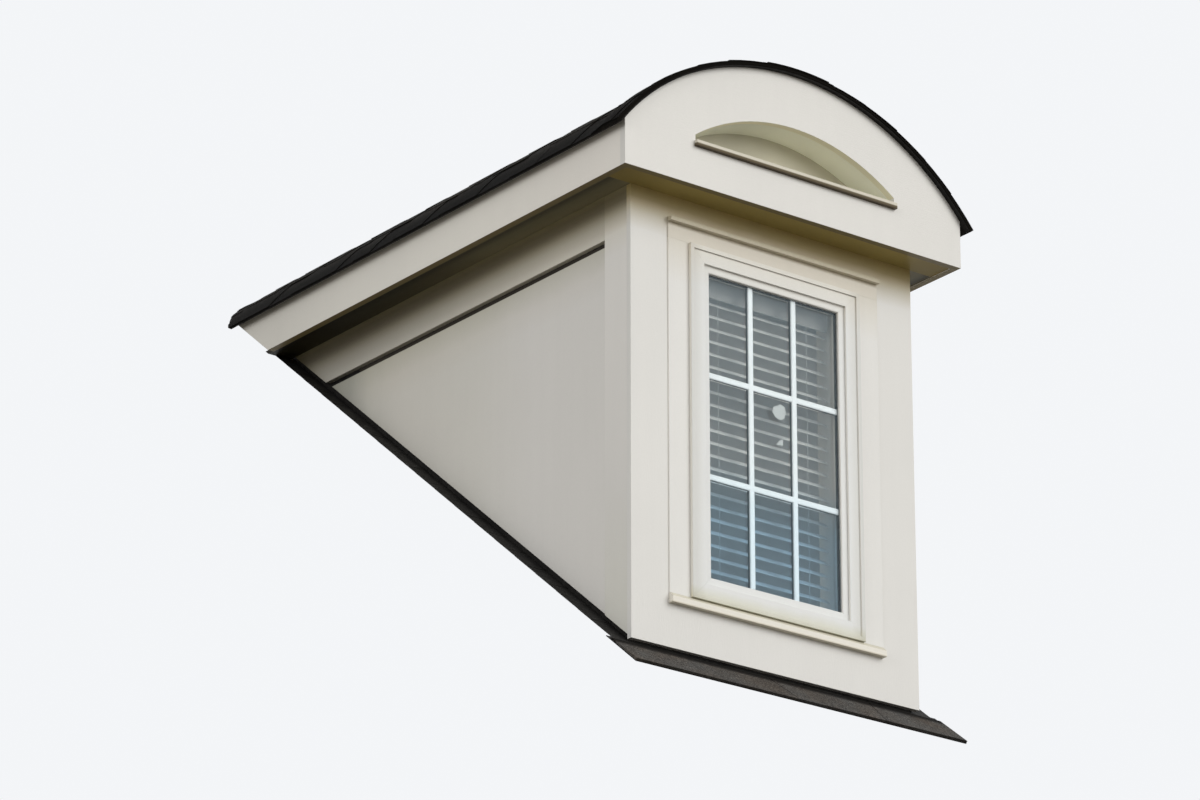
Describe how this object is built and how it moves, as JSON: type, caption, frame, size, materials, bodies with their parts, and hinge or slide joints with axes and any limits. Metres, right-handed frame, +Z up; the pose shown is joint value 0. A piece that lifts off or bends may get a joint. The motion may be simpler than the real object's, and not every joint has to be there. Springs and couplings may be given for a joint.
{
  "type": "dormer window",
  "caption": "Roof dormer with a barrel roof, segmental pediment with a blind lunette, panelled cheeks and a fixed window of small panes, cut to the slope of the main roof.",
  "frame": {"origin": "centre of the bevelled underside of the front sole plate, on the plane of the main roof's slope", "axes": "+X to the right across the front wall, +Y into the building, +Z up; the main roof rises towards +Y at 39.3 degrees"},
  "size_m": [1.3398, 2.3847, 1.9485],
  "materials": {
    "trim_paint": "satin cream-white paint",
    "board_paint": "satin cream-white paint",
    "soffit_paint": "matt khaki paint, stained dark",
    "window_paint": "satin white factory finish",
    "glass": "clear",
    "blind_slats": "matt white",
    "timber": "sawn softwood and plywood",
    "wall_lining": "flat off-white paint on lining boards",
    "shingles": "mineral granules on asphalt, charcoal brown",
    "flashing_metal": "dark bronze, matt"
  },
  "bodies": {
    "root": {"front_sole_plate": "timber", "rake_plate_left": "timber", "rake_plate_right": "timber", "front_wall_left": "trim_paint", "front_wall_right": "trim_paint", "front_wall_head": "trim_paint", "front_wall_below": "trim_paint", "cheek_wall_left": "wall_lining", "cheek_wall_right": "wall_lining", "ceiling": "wall_lining", "roof_ribs": "timber", "corner_board_left": "board_paint", "corner_board_right": "board_paint", "frieze_board_left": "board_paint", "frieze_board_right": "board_paint", "cheek_panel_left": "board_paint", "cheek_panel_right": "board_paint", "casing_left": "trim_paint", "casing_right": "trim_paint", "casing_head": "trim_paint", "sill_board": "trim_paint", "drip_cap": "trim_paint", "frame_jambs": "window_paint", "frame_head": "window_paint", "frame_sill": "window_paint", "sash_stiles": "window_paint", "sash_rails": "window_paint", "glass": "glass", "blind": "blind_slats", "pediment": "trim_paint", "fascia_left": "trim_paint", "fascia_right": "trim_paint", "soffit_front": "soffit_paint", "soffit_left": "soffit_paint", "soffit_right": "soffit_paint", "lunette_panel": "trim_paint", "lunette_lining": "trim_paint", "lunette_ledge": "trim_paint", "roof_deck": "timber", "roof_shingles": "shingles", "drip_edge": "flashing_metal", "apron_flashing": "flashing_metal", "apron_shingles": "shingles", "step_flashing_left": "flashing_metal", "step_flashing_right": "flashing_metal"}
  },
  "joints": []
}
